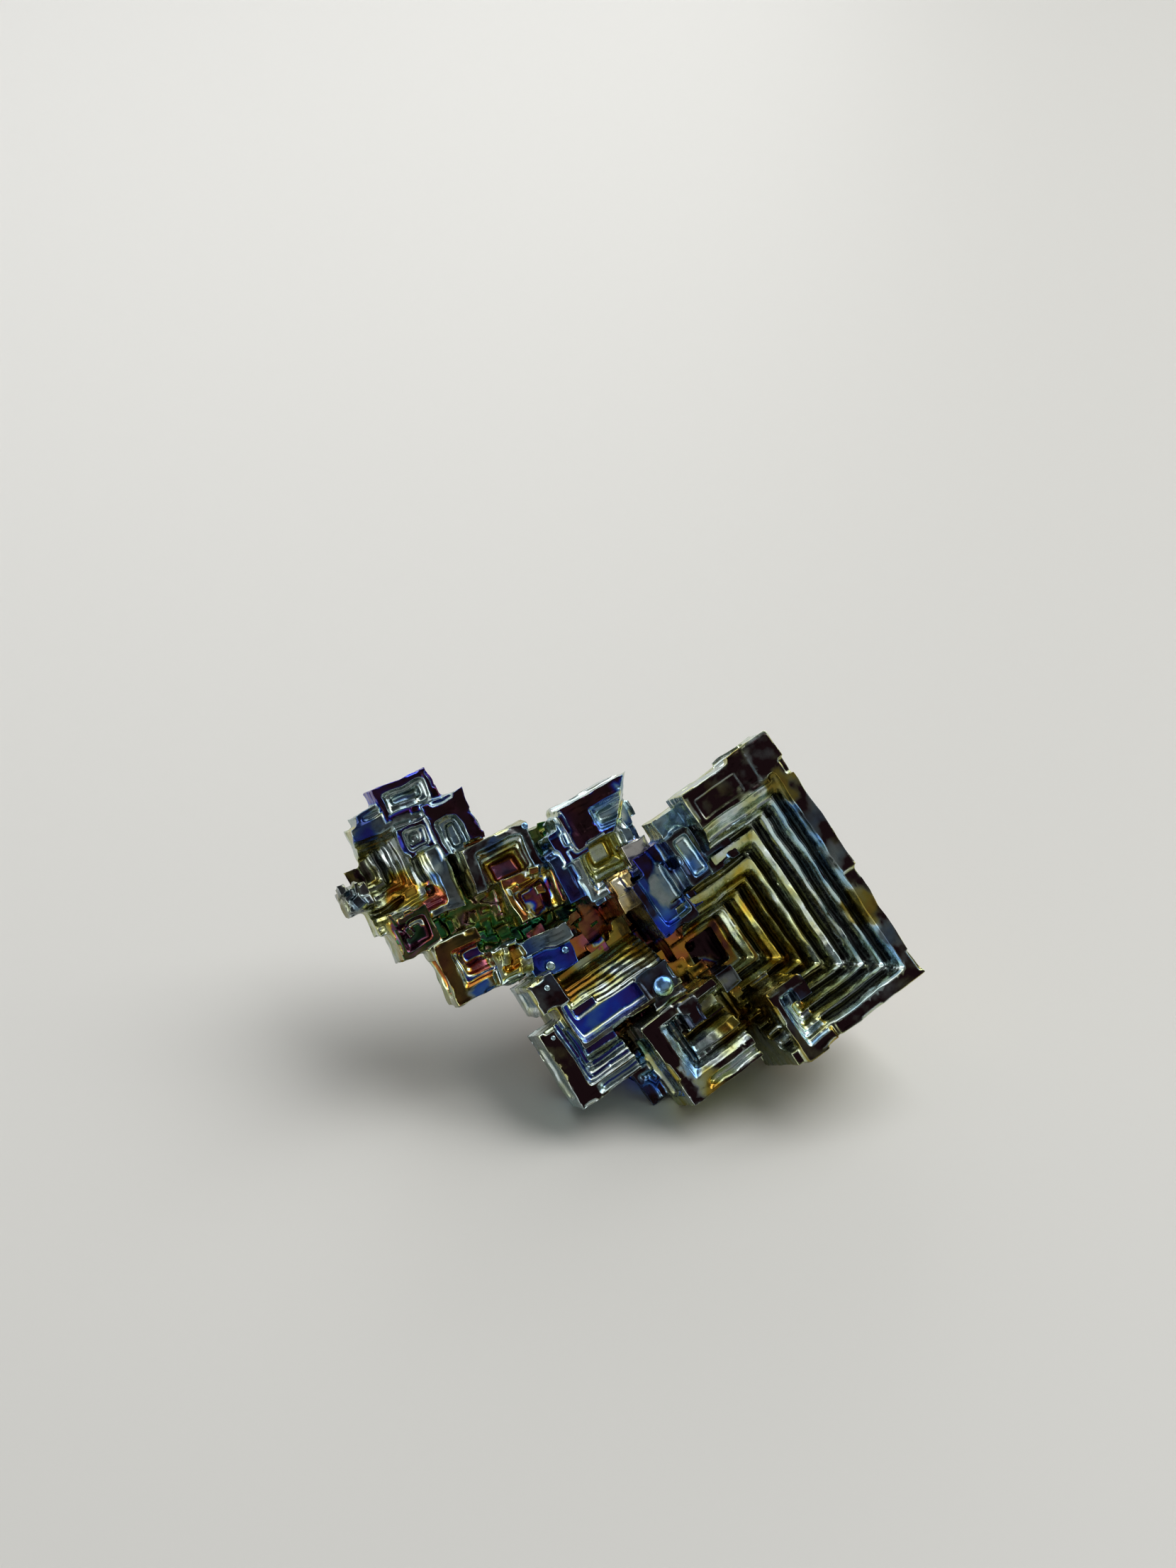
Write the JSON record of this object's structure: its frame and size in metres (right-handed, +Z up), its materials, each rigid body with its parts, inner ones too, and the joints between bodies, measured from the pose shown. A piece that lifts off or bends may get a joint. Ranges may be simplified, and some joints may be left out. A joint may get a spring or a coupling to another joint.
{
  "type": "bismuth hopper crystal",
  "caption": "Branching cluster of square bismuth hopper crystals with stair-stepped hollow faces and rainbow oxide colours, lying at rest.",
  "frame": {"origin": "middle of the bounding box's bottom face, on the ground plane that the cluster lies on", "axes": "+X along the branch towards its thick end, +Y away from the stepped hollow faces, +Z up"},
  "size_m": [0.0522, 0.028, 0.0295],
  "materials": {
    "oxide_tinted_bismuth": "bismuth metal under a thin oxide film: smooth shiny faces in straw gold, copper, magenta, royal blue, teal and near-black maroon"
  },
  "bodies": {
    "root": {"bismuth_crystal": "oxide_tinted_bismuth"}
  },
  "joints": []
}
